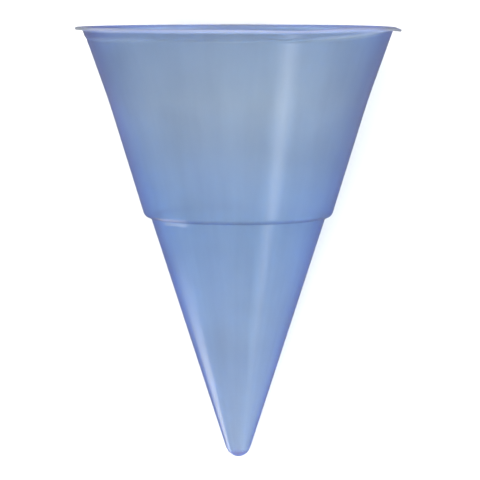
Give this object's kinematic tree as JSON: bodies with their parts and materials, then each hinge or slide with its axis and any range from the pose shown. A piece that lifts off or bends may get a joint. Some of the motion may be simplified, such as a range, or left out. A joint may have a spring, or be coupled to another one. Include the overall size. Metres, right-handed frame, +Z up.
{
  "type": "plastic cone cup",
  "caption": "Cone-shaped drinking cup of thin translucent plastic, with a flat flange round the mouth, a rounded shoulder and a ball-shaped tip, lying on its side.",
  "frame": {"origin": "on the floor, under the middle of the lying cup's length and width", "axes": "+Z up from the floor, +Y along the floor from the tip towards the mouth, +X across the cup; the cup's own axis leans up by 20 degrees from +Y towards +Z"},
  "size_m": [0.072, 0.1026, 0.068],
  "materials": {
    "blue_plastic": "translucent, satin to gloss"
  },
  "bodies": {
    "root": {"cup": "blue_plastic"}
  },
  "joints": []
}
